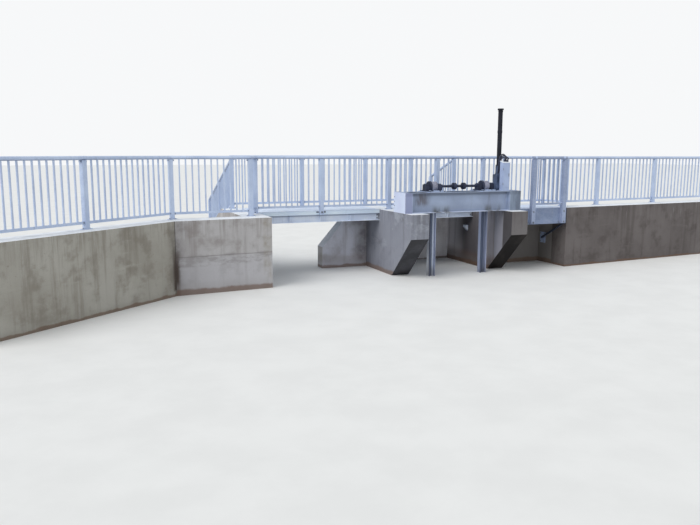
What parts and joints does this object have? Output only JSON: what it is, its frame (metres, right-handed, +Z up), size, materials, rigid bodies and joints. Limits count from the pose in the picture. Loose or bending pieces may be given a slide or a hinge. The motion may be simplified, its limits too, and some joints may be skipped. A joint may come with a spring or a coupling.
{
  "type": "gate dam with footbridge",
  "caption": "Small gate dam with corbelled concrete piers, wing walls, a footbridge with picket railings and a line shaft hoist over a gate bay.",
  "frame": {"origin": "middle of the centre pier's underside, at the level the walls stand on", "axes": "+X along the dam to the right seen from downstream, +Y upstream, +Z up"},
  "size_m": [16.3758, 7.1788, 3.29],
  "materials": {
    "concrete": "cast concrete, stained at the foot",
    "deck": "dull galvanised",
    "girders": "dull galvanised",
    "railings": "dull galvanised",
    "stems": "weathered galvanised",
    "hoist_paint": "weathered grey, rust stained",
    "machinery": "near-black paint",
    "control_post": "pale blue-grey"
  },
  "bodies": {
    "structure": {"left_headwall": "concrete", "left_wing_wall": "concrete", "left_side_wall": "concrete", "left_tail_wall": "concrete", "centre_pier": "concrete", "cutoff_wall": "concrete", "breast_wall": "concrete", "right_pier": "concrete", "right_tail_wall": "concrete", "recess_wall": "concrete", "right_headwall": "concrete", "left_bay_girders": "girders", "gate_bay_girders": "girders", "left_bay_deck": "deck", "gate_bay_deck": "deck", "platform_fascia": "girders", "platform_deck": "deck", "knee_brace": "girders", "wall_bracket": "girders", "wing_rail_near": "railings", "wing_rail_far": "railings", "headwall_rail": "railings", "left_corner_rail": "railings", "front_rail_left_bay": "railings", "front_rail_gate_bay": "railings", "rear_rail_left_bay": "railings", "rear_rail_gate_bay": "railings", "platform_rail": "railings", "right_corner_rail": "railings", "right_rail_near": "railings", "right_rail_mid": "railings", "right_rail_far": "railings", "left_guard_rail": "railings", "right_guard_rail": "railings", "hoist_front_beam": "hoist_paint", "hoist_rear_beam": "hoist_paint", "hoist_end_boxes": "hoist_paint", "left_stem": "stems", "right_stem": "stems", "left_gear_unit": "machinery", "right_gear_unit": "machinery", "drive_unit": "machinery", "control_post": "control_post", "tall_pipe": "machinery"},
    "line_shaft": {"line_shaft": "machinery"}
  },
  "joints": [
    {"name": "line_shaft_turn", "type": "hinge", "parent": "structure", "child": "line_shaft", "pos_m": [1.1125, -1.2225, 1.766], "axis": [1, 0, 0], "continuous": true}
  ]
}
